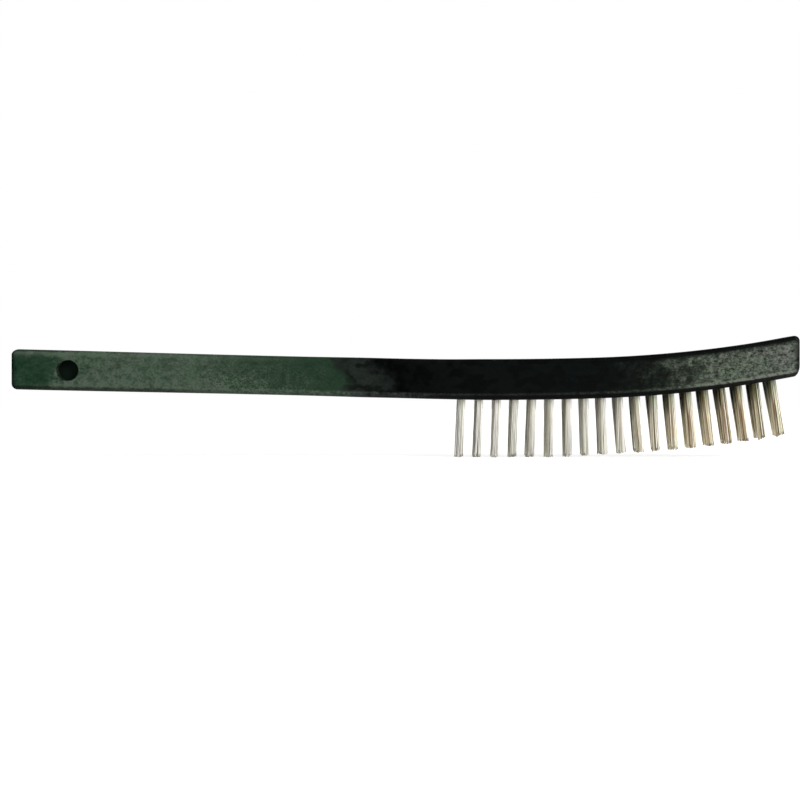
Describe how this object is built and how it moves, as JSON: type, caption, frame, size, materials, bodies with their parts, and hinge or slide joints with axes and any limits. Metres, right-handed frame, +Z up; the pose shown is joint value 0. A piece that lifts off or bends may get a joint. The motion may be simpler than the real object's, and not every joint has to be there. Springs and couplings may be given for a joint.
{
  "type": "wire scratch brush",
  "caption": "Long bowed-handle wire scratch brush: slim rectangular moulded plastic handle, rows of short steel wire tufts on its curved head, hanging hole near the butt.",
  "frame": {"origin": "middle of the bounding box's footprint, on the surface that the lowest wire tips stand on", "axes": "+X from the butt to the toe along the handle, +Y across the handle to its left side, +Z up, out of the handle's back, with the wire tufts pointing down"},
  "size_m": [0.35, 0.022, 0.0542],
  "materials": {
    "handle_plastic": "satin",
    "steel_wire": "satin"
  },
  "bodies": {
    "root": {"handle": "handle_plastic", "tuft_01_right": "steel_wire", "tuft_01_middle": "steel_wire", "tuft_01_left": "steel_wire", "tuft_02_right": "steel_wire", "tuft_02_middle": "steel_wire", "tuft_02_left": "steel_wire", "tuft_03_right": "steel_wire", "tuft_03_middle": "steel_wire", "tuft_03_left": "steel_wire", "tuft_04_right": "steel_wire", "tuft_04_middle": "steel_wire", "tuft_04_left": "steel_wire", "tuft_05_right": "steel_wire", "tuft_05_middle": "steel_wire", "tuft_05_left": "steel_wire", "tuft_06_right": "steel_wire", "tuft_06_middle": "steel_wire", "tuft_06_left": "steel_wire", "tuft_07_right": "steel_wire", "tuft_07_middle": "steel_wire", "tuft_07_left": "steel_wire", "tuft_08_right": "steel_wire", "tuft_08_middle": "steel_wire", "tuft_08_left": "steel_wire", "tuft_09_right": "steel_wire", "tuft_09_middle": "steel_wire", "tuft_09_left": "steel_wire", "tuft_10_right": "steel_wire", "tuft_10_middle": "steel_wire", "tuft_10_left": "steel_wire", "tuft_11_right": "steel_wire", "tuft_11_middle": "steel_wire", "tuft_11_left": "steel_wire", "tuft_12_right": "steel_wire", "tuft_12_middle": "steel_wire", "tuft_12_left": "steel_wire", "tuft_13_right": "steel_wire", "tuft_13_middle": "steel_wire", "tuft_13_left": "steel_wire", "tuft_14_right": "steel_wire", "tuft_14_middle": "steel_wire", "tuft_14_left": "steel_wire", "tuft_15_right": "steel_wire", "tuft_15_middle": "steel_wire", "tuft_15_left": "steel_wire", "tuft_16_right": "steel_wire", "tuft_16_middle": "steel_wire", "tuft_16_left": "steel_wire", "tuft_17_right": "steel_wire", "tuft_17_middle": "steel_wire", "tuft_17_left": "steel_wire", "tuft_18_right": "steel_wire", "tuft_18_middle": "steel_wire", "tuft_18_left": "steel_wire", "tuft_19_right": "steel_wire", "tuft_19_middle": "steel_wire", "tuft_19_left": "steel_wire"}
  },
  "joints": []
}
